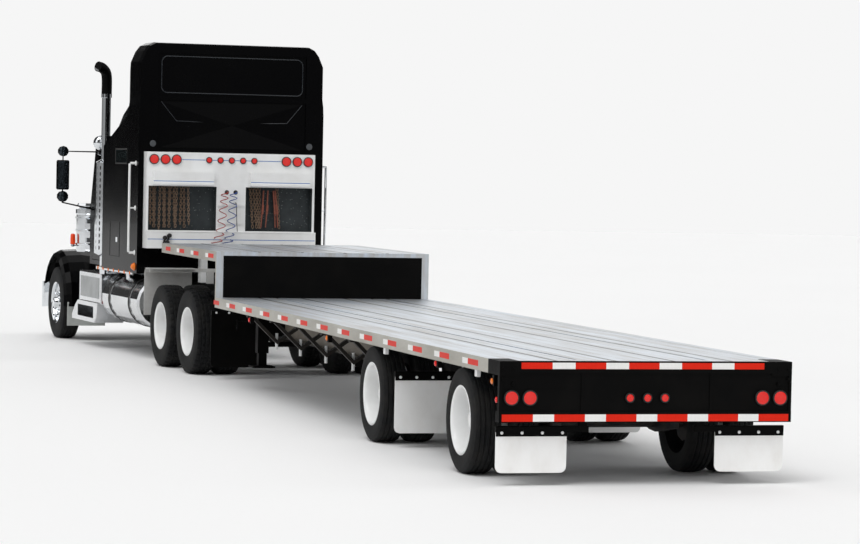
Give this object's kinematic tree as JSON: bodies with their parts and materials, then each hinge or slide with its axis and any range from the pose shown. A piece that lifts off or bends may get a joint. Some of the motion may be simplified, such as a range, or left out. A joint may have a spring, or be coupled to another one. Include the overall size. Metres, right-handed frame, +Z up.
{
  "type": "articulated flatbed lorry",
  "caption": "Long-nosed sleeper tractor hinged at its kingpin to a drop-deck flatbed trailer with spread twin-wheel axles and a chain rack behind the sleeper.",
  "frame": {"origin": "on the ground at the middle of the parked lorry's outline", "axes": "+Y to the trailer's rear, along the trailer; +X to the left side; +Z up. The tractor's nose points about -Y, turned 3.65 degrees about the kingpin as pictured."},
  "size_m": [3.2412, 22.1941, 4.2],
  "materials": {
    "aluminium_deck": "worn mill finish",
    "galvanised_steel": "dull galvanised",
    "black_steel": "satin black",
    "black_paint": "high gloss black",
    "white_enamel": "gloss white",
    "cast_iron": "black painted casting",
    "chrome": "polished",
    "polished_aluminium": "polished",
    "tyre": "matt",
    "glass": "tinted",
    "grey_trim": "matt",
    "white_plastic": "matt",
    "red_hose": "satin",
    "blue_hose": "satin"
  },
  "bodies": {
    "trailer": {"lower_deck": "aluminium_deck", "upper_deck": "aluminium_deck", "drop_bulkhead": "black_steel", "trailer_frame": "galvanised_steel", "rear_bumper": "black_steel", "landing_gear": "black_steel", "trailer_rear_axle": "cast_iron", "trailer_front_axle": "cast_iron", "rear_mudflaps": "white_plastic", "middle_mudflaps": "white_plastic"},
    "tractor": {"tractor_frame": "black_steel", "fifth_wheel": "cast_iron", "drive_tandem": "cast_iron", "steer_axle": "cast_iron", "engine": "cast_iron", "cab_shell": "black_paint", "windscreen": "glass", "cab_interior": "grey_trim", "sleeper_shell": "black_paint", "front_bumper": "chrome", "left_air_cleaner": "chrome", "right_air_cleaner": "chrome", "exhaust_system": "chrome", "left_fuel_tank": "polished_aluminium", "right_fuel_tank": "polished_aluminium", "left_step_box": "polished_aluminium", "right_step_box": "polished_aluminium", "quarter_fenders": "polished_aluminium", "tractor_mudflaps": "black_steel", "chain_rack": "white_enamel", "red_air_line": "red_hose", "blue_air_line": "blue_hose"},
    "hood": {"hood": "black_paint", "grille": "chrome"},
    "left_door": {"left_door": "black_paint", "left_door_glass": "glass"},
    "right_door": {"right_door": "black_paint", "right_door_glass": "glass"},
    "left_knuckle": {"left_knuckle": "cast_iron"},
    "right_knuckle": {"right_knuckle": "cast_iron"},
    "steer_left_wheel": {"steer_left_tyre": "tyre", "steer_left_rim": "polished_aluminium"},
    "trailer_rear_left_wheels": {"trailer_rear_left_tyres": "tyre", "trailer_rear_left_rim": "white_enamel"},
    "trailer_front_left_wheels": {"trailer_front_left_tyres": "tyre", "trailer_front_left_rim": "white_enamel"},
    "drive_rear_left_wheels": {"drive_rear_left_tyres": "tyre", "drive_rear_left_rim": "white_enamel"},
    "drive_front_left_wheels": {"drive_front_left_tyres": "tyre", "drive_front_left_rim": "white_enamel"},
    "steer_right_wheel": {"steer_right_tyre": "tyre", "steer_right_rim": "polished_aluminium"},
    "trailer_rear_right_wheels": {"trailer_rear_right_tyres": "tyre", "trailer_rear_right_rim": "white_enamel"},
    "trailer_front_right_wheels": {"trailer_front_right_tyres": "tyre", "trailer_front_right_rim": "white_enamel"},
    "drive_rear_right_wheels": {"drive_rear_right_tyres": "tyre", "drive_rear_right_rim": "white_enamel"},
    "drive_front_right_wheels": {"drive_front_right_tyres": "tyre", "drive_front_right_rim": "white_enamel"}
  },
  "joints": [
    {"name": "kingpin", "type": "hinge", "parent": "trailer", "child": "tractor", "pos_m": [-0.29104, -3.13995, 1.24], "axis": [0, 0, 1], "range_deg": [-85, 85]},
    {"name": "hood_tilt", "type": "hinge", "parent": "tractor", "child": "hood", "pos_m": [0.19278, -10.72453, 0.9], "axis": [0.998, 0.0637, 0], "range_deg": [0, 60]},
    {"name": "left_door_swing", "type": "hinge", "parent": "tractor", "child": "left_door", "pos_m": [1.07567, -8.41695, 2], "axis": [0, 0, -1], "range_deg": [0, 65]},
    {"name": "left_steering", "type": "hinge", "parent": "tractor", "child": "left_knuckle", "pos_m": [1.02644, -9.96993, 0.525], "axis": [0, 0, 1], "range_deg": [-35, 35]},
    {"name": "steer_left_spin", "type": "hinge", "parent": "left_knuckle", "child": "steer_left_wheel", "pos_m": [1.20108, -9.95879, 0.525], "axis": [0.998, 0.0637, 0], "continuous": true},
    {"name": "trailer_rear_left_spin", "type": "hinge", "parent": "trailer", "child": "trailer_rear_left_wheels", "pos_m": [0.69296, 9.88005, 0.46], "axis": [1, 0, 0], "continuous": true},
    {"name": "trailer_front_left_spin", "type": "hinge", "parent": "trailer", "child": "trailer_front_left_wheels", "pos_m": [0.69296, 6.88605, 0.46], "axis": [1, 0, 0], "continuous": true},
    {"name": "drive_rear_left_spin", "type": "hinge", "parent": "tractor", "child": "drive_rear_left_wheels", "pos_m": [0.59007, -2.4224, 0.525], "axis": [0.998, 0.0637, 0], "continuous": true},
    {"name": "drive_front_left_spin", "type": "hinge", "parent": "tractor", "child": "drive_front_left_wheels", "pos_m": [0.6741, -3.73972, 0.525], "axis": [0.998, 0.0637, 0], "continuous": true},
    {"name": "right_door_swing", "type": "hinge", "parent": "tractor", "child": "right_door", "pos_m": [-0.97616, -8.54783, 2], "axis": [0, 0, 1], "range_deg": [0, 65]},
    {"name": "right_steering", "type": "hinge", "parent": "tractor", "child": "right_knuckle", "pos_m": [-0.72999, -10.08197, 0.525], "axis": [0, 0, 1], "range_deg": [-35, 35]},
    {"name": "steer_right_spin", "type": "hinge", "parent": "right_knuckle", "child": "steer_right_wheel", "pos_m": [-0.90464, -10.09311, 0.525], "axis": [0.998, 0.0637, 0], "continuous": true},
    {"name": "trailer_rear_right_spin", "type": "hinge", "parent": "trailer", "child": "trailer_rear_right_wheels", "pos_m": [-1.27504, 9.88005, 0.46], "axis": [1, 0, 0], "continuous": true},
    {"name": "trailer_front_right_spin", "type": "hinge", "parent": "trailer", "child": "trailer_front_right_wheels", "pos_m": [-1.27504, 6.88605, 0.46], "axis": [1, 0, 0], "continuous": true},
    {"name": "drive_rear_right_spin", "type": "hinge", "parent": "tractor", "child": "drive_rear_right_wheels", "pos_m": [-1.25618, -2.54017, 0.525], "axis": [0.998, 0.0637, 0], "continuous": true},
    {"name": "drive_front_right_spin", "type": "hinge", "parent": "tractor", "child": "drive_front_right_wheels", "pos_m": [-1.17215, -3.8575, 0.525], "axis": [0.998, 0.0637, 0], "continuous": true}
  ],
  "couplings": [
    {"joint": "right_steering", "follows": "left_steering", "ratio": 1}
  ]
}
